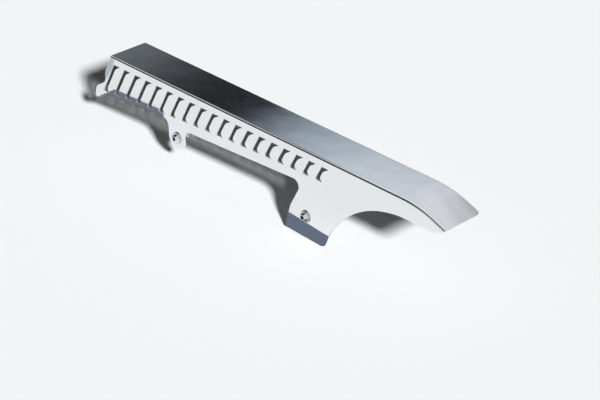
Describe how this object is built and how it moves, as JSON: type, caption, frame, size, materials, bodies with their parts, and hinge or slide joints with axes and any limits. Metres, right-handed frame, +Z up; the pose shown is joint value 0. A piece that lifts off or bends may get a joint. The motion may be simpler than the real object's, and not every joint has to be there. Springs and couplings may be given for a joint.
{
  "type": "motorcycle upper belt guard",
  "caption": "Folded chrome-plated sheet that covers a motorcycle's final drive belt from above and from the side, with a row of slots and two screw fixings.",
  "frame": {"origin": "axis of the rear fixing on the back face of the side plate", "axes": "+X forward along the fold, +Y outward to the left of the motorcycle, +Z up and square to the top plate"},
  "size_m": [0.6302, 0.0641, 0.119],
  "materials": {
    "chrome_sheet": "mirror-bright chrome plate on steel sheet",
    "screw_chrome": "bright chrome plate with a dark socket",
    "washer_steel": "bright zinc-plated steel, lightly turned"
  },
  "bodies": {
    "root": {"guard": "chrome_sheet", "rear_washer": "washer_steel", "rear_screw": "screw_chrome", "front_washer": "washer_steel", "front_screw": "screw_chrome"}
  },
  "joints": []
}
